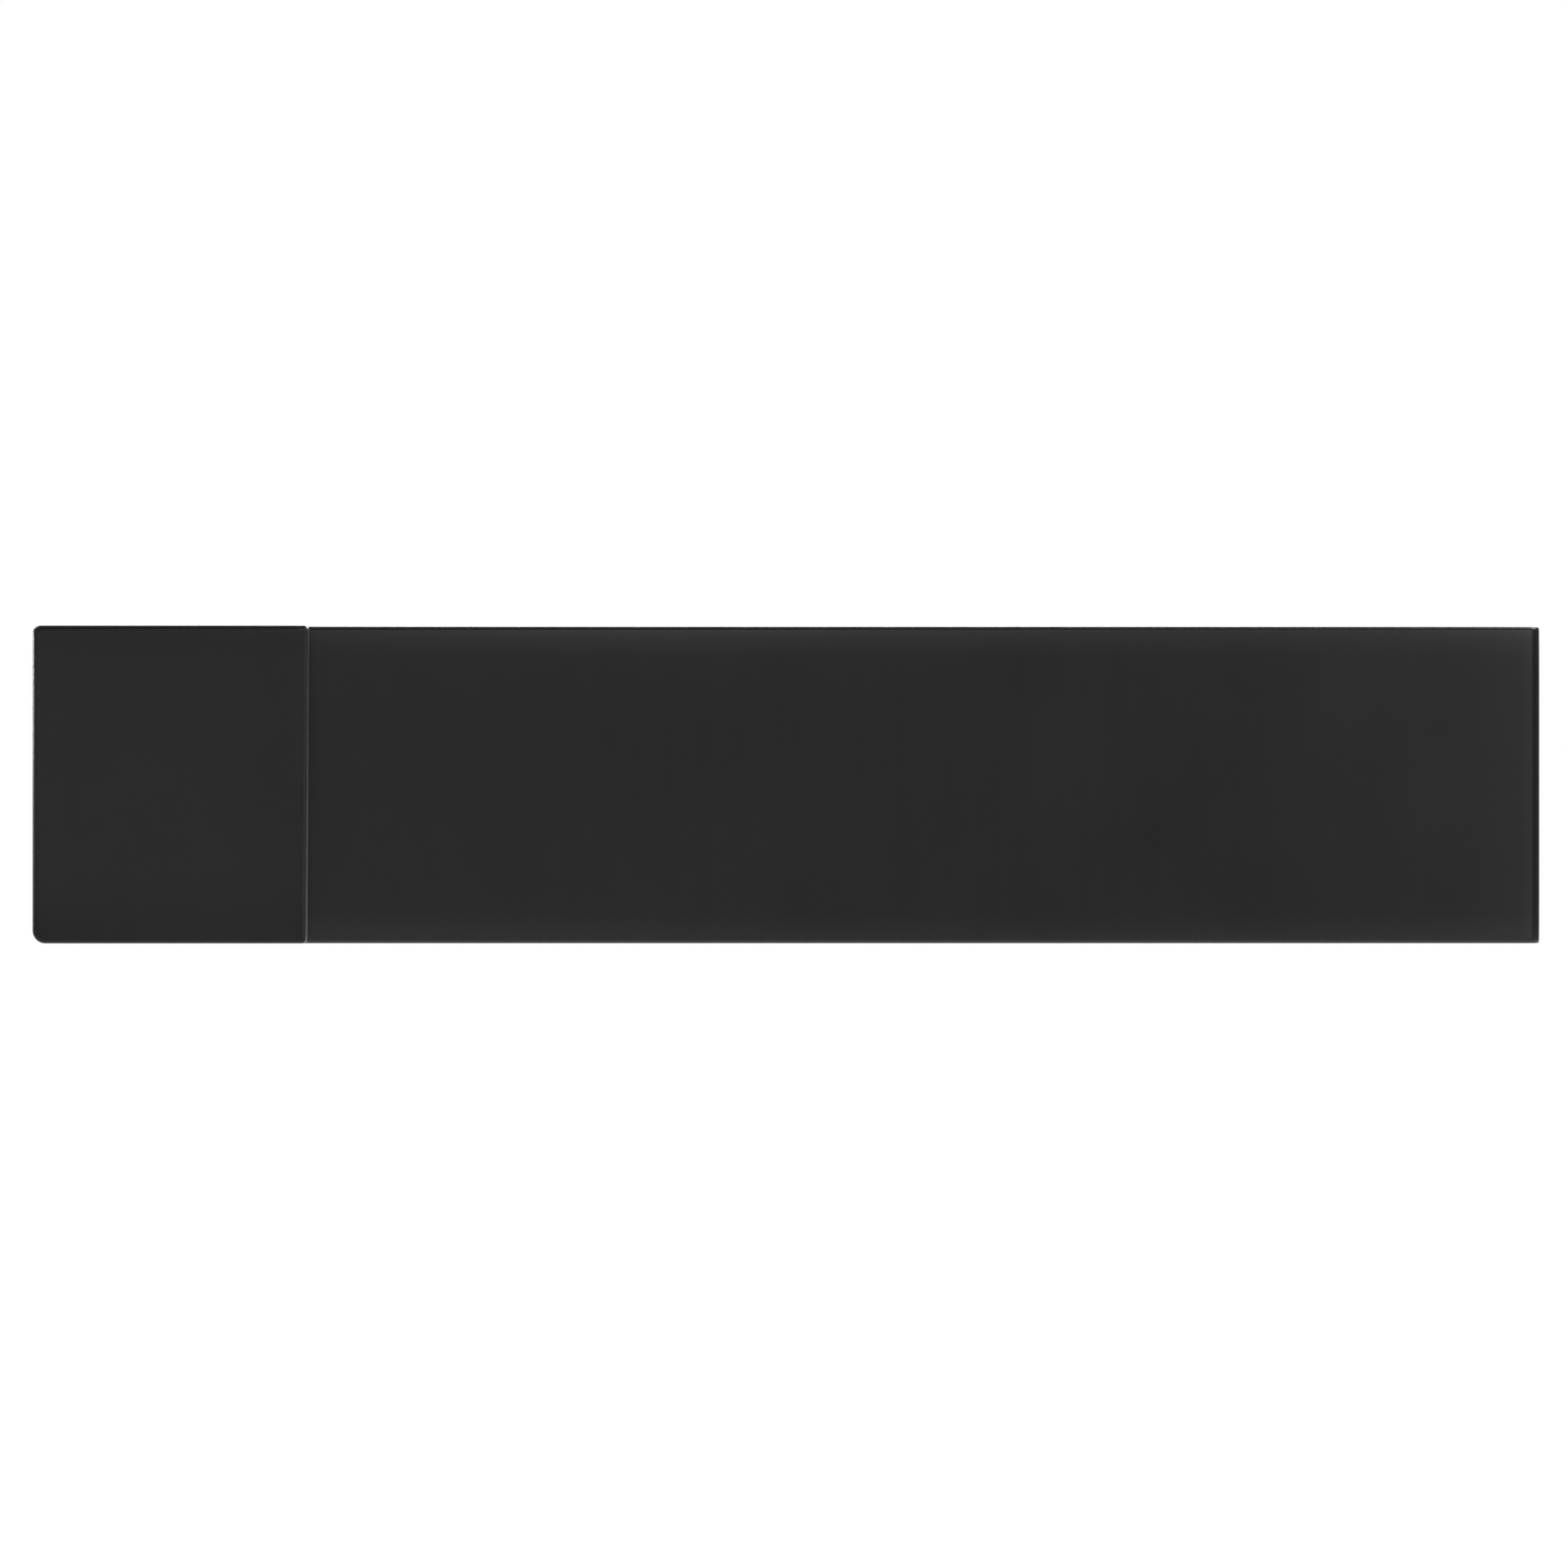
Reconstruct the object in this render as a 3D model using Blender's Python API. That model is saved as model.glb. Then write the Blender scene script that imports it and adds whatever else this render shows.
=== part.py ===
"""Surface-mounted door kick plate with concealed fixings, as an assembly of separate pieces.

An extruded retainer is screwed flat to the door. A formed cover sheet hangs on its two upward hooks by two
hanger strips that are bonded to the sheet's back, and cushion strips between retainer and sheet take the
kicks. A moulded end cap pushes into the sheet's open left end and stands a little proud of the sheet.

Row frame, in metres: X runs along the door (the end cap is at -X), Z is up, and Y = 0 is the door's face, with
the kick plate in front of it at -Y. The origin is the centre of the retainer's back face.
"""

from math import cos, pi, sin

import bmesh
import bpy

# Driving dimensions of the finished kick plate.
LENGTH = 0.724
HEIGHT = 0.1524
PLATE_DEPTH = 0.012  # door face to the sheet's front
CAP_DEPTH = 0.018  # door face to the end cap's front
CAP_WIDTH = 0.1325
LIFT_TRAVEL = 0.011  # how far the sheet moves up to leave the hooks
BACK_CLEARANCE = 0.001  # door face to the rear edges of sheet and cap
FIT_GAP = 0.0003  # between pieces that touch

# The formed cover sheet.
SHEET = 0.0015  # thickness
EDGE_RADIUS = 0.002  # outer bend radius of the top and bottom edges
CORNER_RADIUS = 0.0005  # of the upright edges at the right end, where two folds meet
END_RADIUS = 0.0047  # outer bend radius of the right end
SHOULDER_FALL = 0.0008  # how far the face sinks back towards its edges
SHOULDER_Z = 0.050  # the face starts to sink this far from its middle
SHOULDER_LENGTH = 0.057  # and this far before its right end
HEM = 0.0075  # height of the turned-in rear lips
HEM_END_GAP = 0.010  # the lips stop this far before the right end

# The end cap.
CAP_WALL = 0.003
CAP_RIB = 0.0024
CAP_RAISED = 0.0002  # it sits this high in the play of its spigots
CAP_LAP = 0.0065  # how far its front overlaps the sheet's end
CAP_FILLET = 0.0014
CAP_DRAFT_TOP = 0.0004  # its right side leans to -X by this at the front's top
CAP_DRAFT_BOTTOM = 0.0016  # and by this at the front's bottom
CAP_CORNERS = (0.0020, 0.0021, 0.0039, 0.0061)  # lower right, upper right, upper left, lower left
CAP_POCKETS = (3, 2)  # pockets between its ribs, along X and Z
SPIGOT_LENGTH = 0.031
SPIGOT_HEIGHT = 0.0066

# The retainer, which is the same section all along.
RETAINER_LENGTH = 0.690
RETAINER_HEIGHT = 0.108
WEB = 0.003
LIP = 0.0016
HOOK_LEG = 0.002
HOOK_RISE = 0.012  # from the top of a hook's leg to the top of its lip
HOOK_LEVELS = (0.020, -0.038)  # Z of the underside of each hook's leg
CHANNEL = 0.0026  # between the web and a hook's lip

# The hangers and their bonding tape.
HANGER_WEB = 0.0014
HANGER_JOG = 0.0018
HANGER_HEIGHT = 0.018  # of the bonded web
HANGER_DROP = 0.0103  # how far its lip reaches down behind a hook
HANGER_X = (-0.200, 0.320)
TAPE = 0.001
TAPE_HEIGHT = 0.016
TAPE_INSET = 0.003  # from each end of its hanger

# The screws, which are countersunk into the retainer.
SCREW_X = (-0.315, -0.105, 0.105, 0.315)
SCREW_Z = (0.046, -0.046)
SCREW_RADIUS = 0.002
SCREW_HEAD_RADIUS = 0.00415
SCREW_LENGTH = 0.028
SCREW_POINT = 0.005
HOLE_GAP = 0.0004

# The cushions.
CUSHION_WIDTH = 0.011
CUSHION_LEVELS = (0.0125, -0.047)
CUSHION_SPANS = ((-0.229, -0.117), (-0.093, 0.093), (0.117, 0.303))

ROUND_SIDES = 20
LEFT, RIGHT, TOP = -LENGTH / 2, LENGTH / 2, HEIGHT / 2
CAP_RIGHT = LEFT + CAP_WIDTH
CAP_LOW, CAP_HIGH = CAP_RAISED - TOP, CAP_RAISED + TOP
CAP_BODY_RIGHT = CAP_RIGHT - CAP_LAP
SHEET_LEFT = CAP_BODY_RIGHT + FIT_GAP


def material(name, colour, roughness, metallic=0.0):
    """A Principled material with one linear colour."""
    made = bpy.data.materials.new(name)
    made.use_nodes = True
    shader = made.node_tree.nodes["Principled BSDF"]
    shader.inputs["Base Color"].default_value = (*colour, 1.0)
    shader.inputs["Roughness"].default_value = roughness
    shader.inputs["Metallic"].default_value = metallic
    return made


def add(name, bm, finish, parent=None, place=(0, 0, 0), smooth=35):
    """Makes an object of a closed bmesh, shaded smooth up to the given angle in degrees."""
    bmesh.ops.recalc_face_normals(bm, faces=bm.faces)
    mesh = bpy.data.meshes.new(name)
    bm.to_mesh(mesh)
    bm.free()
    mesh.materials.append(finish)
    mesh.shade_smooth()
    mesh.set_sharp_from_angle(angle=smooth * pi / 180)
    made = bpy.data.objects.new(name, mesh)
    bpy.context.collection.objects.link(made)
    made.location = place
    made.parent = parent
    return made


def empty(name, place, parent=None):
    made = bpy.data.objects.new(name, None)
    bpy.context.collection.objects.link(made)
    made.location = place
    made.parent = parent
    return made


def cutter(name, bm, target, operation="DIFFERENCE"):
    """Cuts a bmesh out of an object, or joins it on, through a hidden helper object in the row frame."""
    helper = add(name, bm, target.data.materials[0])
    helper.hide_render = True
    helper.display_type = "WIRE"
    boolean = target.modifiers.new(name, "BOOLEAN")
    boolean.operation = operation
    boolean.object = helper


def add_box(bm, x, y, z):
    """Adds a closed box between the two values of each axis."""
    made = bmesh.ops.create_cube(bm, size=1.0)["verts"]
    for v in made:
        v.co = [low + (c + 0.5) * (high - low) for c, (low, high) in zip(v.co, (x, y, z))]


def box(x, y, z):
    bm = bmesh.new()
    add_box(bm, x, y, z)
    return bm


def extrusion(profile, x):
    """A bar along X from a closed outline of (y, z) points."""
    bm = bmesh.new()
    face = bm.faces.new([bm.verts.new((x[0], py, pz)) for py, pz in profile])
    moved = bmesh.ops.extrude_face_region(bm, geom=[face])["geom"]
    for v in (g for g in moved if isinstance(g, bmesh.types.BMVert)):
        v.co.x = x[1]
    return bm


def turned(bm, profile, x=0.0, z=0.0):
    """Adds a closed turned solid round a line along Y, from (radius, y) points that start and end off the axis."""
    rings = []
    for radius, y in profile:
        turns = [2 * pi * i / ROUND_SIDES for i in range(ROUND_SIDES)]
        rings.append([bm.verts.new((x + radius * cos(t), y, z + radius * sin(t))) for t in turns])
    for a, b in zip(rings, rings[1:]):
        for i in range(ROUND_SIDES):
            j = (i + 1) % ROUND_SIDES
            bm.faces.new((a[i], a[j], b[j], b[i]))
    return bm.faces.new(rings[0]), bm.faces.new(rings[-1])


# --- fixed to the door ---------------------------------------------------------------------------------------


def hook_outline(level):
    """The (y, z) points of one upward hook, from the top of its leg at the web round to the leg's underside."""
    inner, outer = -WEB - CHANNEL, -WEB - CHANNEL - LIP
    top, lead = level + HOOK_LEG + HOOK_RISE, 0.0008
    return [
        (-WEB, level + HOOK_LEG),
        (inner, level + HOOK_LEG),
        (inner, top - lead),
        (inner - lead, top),
        (outer, top),
        (outer, level),
        (-WEB, level),
    ]


def build_retainer(finish):
    half = RETAINER_HEIGHT / 2
    outline = [(0, -half), (0, half), (-WEB, half)]
    for level in HOOK_LEVELS:
        outline += hook_outline(level)
    outline.append((-WEB, -half))
    made = add("retainer", extrusion(outline, (-RETAINER_LENGTH / 2, RETAINER_LENGTH / 2)), finish)
    holes = bmesh.new()
    seat = SCREW_HEAD_RADIUS - SCREW_RADIUS
    mouth, bore = SCREW_HEAD_RADIUS + HOLE_GAP, SCREW_RADIUS + HOLE_GAP
    run_out = 0.001  # the cutter goes past both faces of the web
    for z in SCREW_Z:
        for x in SCREW_X:
            turned(
                holes,
                [
                    (mouth + run_out, -WEB - run_out),
                    (mouth, -WEB),
                    (bore, -WEB + seat),
                    (bore, run_out),
                ],
                x,
                z,
            )
    cutter("retainer_holes", holes, made)


def screw_shape():
    """A countersunk wood screw along +Y with a cross recess, its head's face at Y = 0."""
    bm = bmesh.new()
    seat = SCREW_HEAD_RADIUS - SCREW_RADIUS
    head, tip = turned(
        bm,
        [
            (SCREW_HEAD_RADIUS, 0.0),
            (SCREW_HEAD_RADIUS, 0.0002),
            (SCREW_RADIUS, 0.0002 + seat),
            (SCREW_RADIUS, SCREW_LENGTH - SCREW_POINT),
            (0.0003, SCREW_LENGTH),
        ],
    )
    bmesh.ops.inset_individual(bm, faces=[head], thickness=0.0016)
    for v in head.verts:  # the inner ring becomes a cross with four wings
        wing = 0.0022 if abs(v.co.x) < 0.0007 or abs(v.co.z) < 0.0007 else 0.0009
        v.co.xz = v.co.xz.normalized() * wing
    floor = bmesh.ops.extrude_face_region(bm, geom=[head])["geom"]
    for v in (g for g in floor if isinstance(g, bmesh.types.BMVert)):
        v.co.xz *= 0.45
        v.co.y += 0.0016
    bm.faces.remove(head)
    return bm


def build_screws(finish):
    number = 0
    for z in SCREW_Z:
        for x in SCREW_X:
            number += 1
            place = (x, -WEB + 0.0001, z)
            add(f"retainer_screw_{number}", screw_shape(), finish, place=place, smooth=25)


def build_cushions(finish):
    """Cushion strips with a chamfered front, between the retainer's web and the sheet's back."""
    back, front = -WEB - FIT_GAP, -PLATE_DEPTH + SHEET + FIT_GAP
    half, chamfer = CUSHION_WIDTH / 2, 0.0015
    for row, level in zip(("centre", "lower"), CUSHION_LEVELS):
        outline = [
            (back, level - half),
            (back, level + half),
            (front + chamfer, level + half),
            (front, level + half - chamfer),
            (front, level - half + chamfer),
            (front + chamfer, level - half),
        ]
        for number, span in enumerate(CUSHION_SPANS, 1):
            add(f"{row}_cushion_{number}", extrusion(outline, span), finish)


# --- lifts off with the sheet --------------------------------------------------------------------------------


def fall(distance, length):
    """How far the face has sunk back at a distance into a shoulder."""
    return SHOULDER_FALL * (max(0.0, distance) / length) ** 2


def front_y(x, z):
    """The outer face of the sheet."""
    ends = fall(x - (RIGHT - SHOULDER_LENGTH), SHOULDER_LENGTH)
    edges = fall(abs(z) - SHOULDER_Z, TOP - SHOULDER_Z)
    return -PLATE_DEPTH + ends + edges


def build_face_plate(finish, parent):
    """The formed sheet: an outer skin of front, right end, top, bottom and rear lips, rounded and thickened."""
    ramp = (0.0, 0.35, 0.65, 0.84, 1.0)
    columns = [SHEET_LEFT] + [RIGHT - SHOULDER_LENGTH * (1 - r) for r in ramp]
    rows = [SHOULDER_Z + (TOP - SHOULDER_Z) * r for r in ramp]
    rows = [-z for z in reversed(rows)] + rows
    rear = -BACK_CLEARANCE
    bm = bmesh.new()
    grid = [[bm.verts.new((x, front_y(x, z), z)) for z in rows] for x in columns]
    for a, b in zip(grid, grid[1:]):
        for j in range(len(rows) - 1):
            bm.faces.new((a[j], b[j], b[j + 1], a[j + 1]))
    end = [bm.verts.new((RIGHT, rear, z)) for z in rows]
    for j in range(len(rows) - 1):
        bm.faces.new((grid[-1][j], end[j], end[j + 1], grid[-1][j + 1]))
    bends = [(grid[-1][j], grid[-1][j + 1], END_RADIUS) for j in range(len(rows) - 1)]
    for j, side in ((0, -1), (len(rows) - 1, 1)):
        flange = [bm.verts.new((x, rear, side * TOP)) for x in columns[:-1]] + [end[j]]
        lip_x = columns[:-1] + [RIGHT - HEM_END_GAP]
        lip = [bm.verts.new((x, rear, side * (TOP - HEM))) for x in lip_x[:-1]]
        for i in range(len(columns) - 1):
            bm.faces.new((grid[i][j], grid[i + 1][j], flange[i + 1], flange[i]))
            bends.append((grid[i][j], grid[i + 1][j], EDGE_RADIUS))
        for i in range(len(lip) - 1):
            bm.faces.new((flange[i], flange[i + 1], lip[i + 1], lip[i]))
            bends.append((flange[i], flange[i + 1], EDGE_RADIUS))
        bends.append((grid[-1][j], end[j], CORNER_RADIUS))
    weight = bm.edges.layers.float.new("bevel_weight_edge")
    for a, b, radius in bends:
        bm.edges.get((a, b))[weight] = radius / END_RADIUS
    made = add("face_plate", bm, finish, parent)
    rounding = made.modifiers.new("bends", "BEVEL")
    rounding.limit_method = "WEIGHT"
    rounding.width = END_RADIUS
    rounding.segments = 4
    rounding.use_clamp_overlap = False
    thickness = made.modifiers.new("thickness", "SOLIDIFY")
    thickness.thickness = SHEET
    thickness.offset = -1
    thickness.use_even_offset = True
    thickness.use_quality_normals = True
    return made


def build_hangers(metal, foam, parent):
    """The two hook strips and the foam tape that bonds each one to the sheet."""
    tape_front = -PLATE_DEPTH + SHEET + FIT_GAP
    web_front = tape_front + TAPE + FIT_GAP
    web_back = web_front + HANGER_WEB
    lip_back = -WEB - 0.0004
    lip_front, lead = lip_back - LIP, 0.0006
    for name, level in zip(("upper", "lower"), HOOK_LEVELS):
        rest = level + HOOK_LEG + HOOK_RISE + FIT_GAP  # the jog's underside sits on the hook
        tip = rest - HANGER_DROP
        outline = [
            (web_front, rest),
            (lip_front, rest),
            (lip_front, tip + lead),
            (lip_front + lead, tip),
            (lip_back, tip),
            (lip_back, rest + HANGER_JOG),
            (web_back, rest + HANGER_JOG),
            (web_back, rest + HANGER_HEIGHT),
            (web_front, rest + HANGER_HEIGHT),
        ]
        add(f"{name}_hanger", extrusion(outline, HANGER_X), metal, parent)
        low = rest + (HANGER_HEIGHT - TAPE_HEIGHT) / 2
        strip = box(
            (HANGER_X[0] + TAPE_INSET, HANGER_X[1] - TAPE_INSET),
            (tape_front, tape_front + TAPE),
            (low, low + TAPE_HEIGHT),
        )
        add(f"{name}_hanger_tape", strip, foam, parent)


# --- pulls off with the end cap ------------------------------------------------------------------------------


def rounded_outline(x, z, radii, steps=5):
    """A rectangle's (x, z) points with its own radius at each corner, from the lower right one, anticlockwise."""
    corners = ((x[1], z[0], -90), (x[1], z[1], 0), (x[0], z[1], 90), (x[0], z[0], 180))
    points = []
    for (cx, cz, start), radius in zip(corners, radii):
        mid_x = cx - radius if cx == x[1] else cx + radius
        mid_z = cz - radius if cz == z[1] else cz + radius
        for i in range(steps + 1):
            turn = (start + 90 * i / steps) * pi / 180
            points.append((mid_x + radius * cos(turn), mid_z + radius * sin(turn)))
    return points


def build_end_cap(finish, parent):
    """The moulded block: rounded outside, ribbed pockets inside, a lap over the sheet and two spigots."""
    bm = bmesh.new()
    outline = rounded_outline((LEFT, CAP_RIGHT), (CAP_LOW, CAP_HIGH), CAP_CORNERS)
    front = bm.faces.new([bm.verts.new((x, -CAP_DEPTH, z)) for x, z in outline])
    back = bmesh.ops.extrude_face_region(bm, geom=[front])["geom"]
    for v in (g for g in back if isinstance(g, bmesh.types.BMVert)):
        v.co.y = -BACK_CLEARANCE
    front_edges = [e for e in bm.edges if all(v.co.y < -0.99 * CAP_DEPTH for v in e.verts)]
    for v in {v for e in front_edges for v in e.verts}:
        lower, rightward = (CAP_HIGH - v.co.z) / HEIGHT, (v.co.x - LEFT) / CAP_WIDTH
        v.co.x -= (CAP_DRAFT_TOP + (CAP_DRAFT_BOTTOM - CAP_DRAFT_TOP) * lower) * rightward
    bmesh.ops.bevel(
        bm, geom=front_edges, offset=CAP_FILLET, segments=3, profile=0.5, affect="EDGES", material=-1
    )
    made = add("end_cap", bm, finish, parent)

    # The ribs and the right wall end in front of the retainer's hooks, and the outer walls reach the door.
    rib_back = -WEB - CHANNEL - LIP - 0.0006
    inner_left, inner_low, inner_high = LEFT + CAP_WALL, CAP_LOW + CAP_WALL, CAP_HIGH - CAP_WALL
    floor = -CAP_DEPTH + CAP_WALL
    cutter("cap_lap_room", box((CAP_BODY_RIGHT, 0), (-PLATE_DEPTH - FIT_GAP, 0.01), (-0.1, 0.1)), made)
    cavity = box((inner_left, CAP_BODY_RIGHT + 0.001), (rib_back, 0.01), (inner_low, inner_high))
    cutter("cap_cavity", cavity, made)
    pockets = bmesh.new()
    across, up = CAP_POCKETS
    width = (CAP_BODY_RIGHT - CAP_WALL - inner_left - (across - 1) * CAP_RIB) / across
    height = (inner_high - inner_low - (up - 1) * CAP_RIB) / up
    for i in range(across):
        for j in range(up):
            x, z = inner_left + i * (width + CAP_RIB), inner_low + j * (height + CAP_RIB)
            add_box(pockets, (x, x + width), (floor, rib_back + 0.001), (z, z + height))
    cutter("cap_pockets", pockets, made)

    # The spigots slide inside the sheet, between its face and its rear lips.
    spigots = bmesh.new()
    outer = TOP - SHEET - 0.0004
    near, far = -PLATE_DEPTH + SHOULDER_FALL + SHEET + 0.0004, -BACK_CLEARANCE - SHEET - 0.0004
    for side in (-1, 1):
        z = sorted((side * outer, side * (outer - SPIGOT_HEIGHT)))
        add_box(spigots, (CAP_BODY_RIGHT - CAP_WALL, CAP_BODY_RIGHT + SPIGOT_LENGTH), (near, far), z)
    cutter("cap_spigots", spigots, made, "UNION")


for old in list(bpy.data.objects):
    bpy.data.objects.remove(old)

black_coat = material("black_powder_coat", (0.0232, 0.0232, 0.0252), 0.48)
black_abs = material("black_moulded_abs", (0.0252, 0.0252, 0.0273), 0.42)
bare_aluminium = material("mill_finish_aluminium", (0.56, 0.57, 0.58), 0.38, 1.0)
zinc_steel = material("zinc_plated_steel", (0.52, 0.53, 0.55), 0.30, 1.0)
black_foam = material("black_epdm", (0.012, 0.012, 0.013), 0.85)
grey_foam = material("grey_foam_tape", (0.08, 0.08, 0.085), 0.75)

build_retainer(bare_aluminium)
build_screws(zinc_steel)
build_cushions(black_foam)
panel_lift = empty("panel_lift_frame", (0, 0, 0))
build_face_plate(black_coat, panel_lift)
build_hangers(bare_aluminium, grey_foam, panel_lift)
cap_pull = empty("cap_pull_frame", (0, 0, 0), panel_lift)
build_end_cap(black_abs, cap_pull)
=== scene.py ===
# %% [markdown]
# # A surface-mounted kick plate with hidden fixings
# A kick plate guards the bottom of a door. This one has no screws on show. An extruded rail is screwed flat to
# the door, two long hangers bonded behind a formed steel sheet hook over the rail, rubber strips take the
# kicks, and a moulded cap closes the sheet's left end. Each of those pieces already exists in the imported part,
# in plain form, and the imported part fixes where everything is. Here each one is modelled again with the
# radii, threads and textures of the real thing, in the same place.

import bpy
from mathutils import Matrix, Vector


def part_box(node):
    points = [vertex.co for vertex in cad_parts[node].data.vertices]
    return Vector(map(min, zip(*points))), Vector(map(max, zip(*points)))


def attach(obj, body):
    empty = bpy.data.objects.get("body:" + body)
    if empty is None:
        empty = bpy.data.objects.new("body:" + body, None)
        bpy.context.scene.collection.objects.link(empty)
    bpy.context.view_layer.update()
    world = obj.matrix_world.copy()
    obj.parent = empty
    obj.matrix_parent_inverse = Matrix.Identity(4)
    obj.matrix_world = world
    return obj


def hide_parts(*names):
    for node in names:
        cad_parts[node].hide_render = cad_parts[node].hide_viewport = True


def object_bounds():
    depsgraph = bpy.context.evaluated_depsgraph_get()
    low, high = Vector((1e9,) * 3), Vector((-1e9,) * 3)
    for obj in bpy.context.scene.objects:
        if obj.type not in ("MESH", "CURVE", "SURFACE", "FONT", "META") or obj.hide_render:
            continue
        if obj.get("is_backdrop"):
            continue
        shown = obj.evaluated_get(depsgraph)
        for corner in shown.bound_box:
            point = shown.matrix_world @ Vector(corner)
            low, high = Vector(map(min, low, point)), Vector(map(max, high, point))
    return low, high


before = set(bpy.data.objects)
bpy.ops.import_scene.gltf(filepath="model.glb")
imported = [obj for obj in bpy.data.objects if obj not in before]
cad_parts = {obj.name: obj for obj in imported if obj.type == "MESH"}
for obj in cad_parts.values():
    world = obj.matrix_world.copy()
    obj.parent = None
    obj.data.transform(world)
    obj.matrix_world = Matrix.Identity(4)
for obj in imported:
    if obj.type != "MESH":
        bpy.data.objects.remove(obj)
cad_low, cad_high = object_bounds()
print("packed part, mm:", [round(1000 * (b - a), 1) for a, b in zip(cad_low, cad_high)])

# %% [markdown]
# ## Tools for meshes
# Every piece starts as a cube, a circle or a short outline, and is shaped with mesh operators: cut, extrude,
# inset, bevel, bridge, spin. The few helpers here and further down only save repeating the same arguments.
# Lengths are in metres, so a value in millimetres is written as a number times MM.

# %% Blocks, cuts and extrusions
from math import cos, pi, radians, sin, sqrt

import bmesh
import bpy
from mathutils import Matrix, Vector

MM = 0.001
NEAR, NEARER = 1e-6, 1e-7  # points this close, in metres, count as one
X, Y, Z = 0, 1, 2


def block(bm, low, high):
    """Adds a cube stretched between two corners."""
    low, high = Vector(low), Vector(high)
    place = Matrix.Translation((low + high) / 2) @ Matrix.Diagonal((*(high - low), 1.0))
    return bmesh.ops.create_cube(bm, size=1.0, matrix=place)["verts"]


def cut(bm, axis, levels, faces=None):
    """Cuts the faces, or the whole mesh, by planes across one axis."""
    for level in levels:
        point, normal = Vector((0, 0, 0)), Vector((0, 0, 0))
        point[axis], normal[axis] = level, 1.0
        if faces is None:
            geom = [*bm.verts, *bm.edges, *bm.faces]
        else:
            chosen = faces(bm)
            verts = {v for f in chosen for v in f.verts}
            edges = {e for f in chosen for e in f.edges}
            geom = [*verts, *edges, *chosen]
        bmesh.ops.bisect_plane(bm, geom=geom, dist=NEARER, plane_co=point, plane_no=normal)


def flat_faces(bm, axis, level, **spans):
    """Faces that lie in a plane across one axis, with their middle inside the given x, y or z spans."""
    found = []
    for face in bm.faces:
        middle = face.calc_center_median()
        inside = all(a < middle["xyz".index(k)] < b for k, (a, b) in spans.items())
        if inside and all(abs(v.co[axis] - level) < NEAR for v in face.verts):
            found.append(face)
    return found


def extrude(bm, faces, axis, level, keep=False):
    """Extrudes a region of faces to a level of one axis; a lone face is kept as the far end of a bar."""
    made = bmesh.ops.extrude_face_region(bm, geom=faces)["geom"]
    for vert in made:
        if isinstance(vert, bmesh.types.BMVert):
            vert.co[axis] = level
    if not keep:
        bmesh.ops.delete(bm, geom=faces, context="FACES")
    return [f for f in made if isinstance(f, bmesh.types.BMFace)]


trial = bmesh.new()
block(trial, (0, 0, 0), (2 * MM, MM, MM))
cut(trial, X, [MM])
print("faces of a cube cut once:", len(trial.faces))
trial.free()

# %% Finished pieces
SHARP = radians(38)  # edges that turn more than this stay crisp when the mesh is shaded smooth


def make(name, bm, finish, modifiers=()):
    """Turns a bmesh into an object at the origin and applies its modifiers."""
    bmesh.ops.remove_doubles(bm, verts=bm.verts, dist=NEAR)
    bmesh.ops.recalc_face_normals(bm, faces=bm.faces)
    mesh = bpy.data.meshes.new(name)
    bm.to_mesh(mesh)
    bm.free()
    made = bpy.data.objects.new(name, mesh)
    bpy.context.collection.objects.link(made)
    for kind, settings in modifiers:
        modifier = made.modifiers.new(kind.lower(), kind)
        for key, value in settings.items():
            setattr(modifier, key, value)
    if modifiers:
        settled = made.evaluated_get(bpy.context.evaluated_depsgraph_get())
        made.data = bpy.data.meshes.new_from_object(settled)
        made.modifiers.clear()
    made.data.name = name
    made.data.materials.clear()
    made.data.materials.append(finish)
    made.data.shade_smooth()
    made.data.set_sharp_from_angle(angle=SHARP)
    check = bmesh.new()
    check.from_mesh(made.data)
    open_edges = sum(not e.is_manifold for e in check.edges)
    print(f"{name}: {len(check.faces)} faces, {open_edges} open edges, {check.calc_volume() * 1e6:.2f} cm3")
    check.free()
    return made


def fit(made, body, slot, *nodes):
    """The piece moves with a body and stands for its CAD nodes, which it hides; the slot is not used."""
    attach(made, body)
    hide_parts(*nodes)


# %% [markdown]
# ## Tools for finishes
# Every finish is a small tree of procedural nodes. Colours are written as sRGB hex, as a paint chart gives
# them, and turned to linear light once. Patterns read Object coordinates scaled to millimetres, so a noise
# with a scale of 1 / 1.6 has features 1.6 mm across on every piece.

# %% Colours and nodes
def linear(hex_colour):
    """The linear RGBA of an sRGB hex colour."""
    shares = [int(hex_colour[i : i + 2], 16) / 255 for i in (1, 3, 5)]
    return (*[s / 12.92 if s <= 0.04045 else ((s + 0.055) / 1.055) ** 2.4 for s in shares], 1.0)


def add_node(tree, kind, inputs=None, **settings):
    """Adds a shader node; inputs are values or sockets by name or number, settings are its own options."""
    made = tree.nodes.new("ShaderNode" + kind)
    for key, value in settings.items():
        setattr(made, key, value)
    for key, value in (inputs or {}).items():
        if isinstance(value, bpy.types.NodeSocket):
            tree.links.new(value, made.inputs[key])
        else:
            made.inputs[key].default_value = value
    return made


def start_finish(name, **constants):
    """A new material: its node tree, its Principled shader and Object coordinates in millimetres."""
    finish = bpy.data.materials.new(name)
    finish.use_nodes = True
    tree = finish.node_tree
    shader = tree.nodes["Principled BSDF"]
    for key, value in constants.items():
        shader.inputs[key.replace("_", " ")].default_value = value
    coordinates = add_node(tree, "TexCoord")
    mm = add_node(tree, "Mapping", {"Vector": coordinates.outputs["Object"], "Scale": (1000, 1000, 1000)})
    return finish, tree, shader, mm.outputs[0], coordinates.outputs["Normal"]


FLAT, TURNED = 0.96, 0.74  # largest part of the normal on a flat face, and near the middle of a bend


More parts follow.
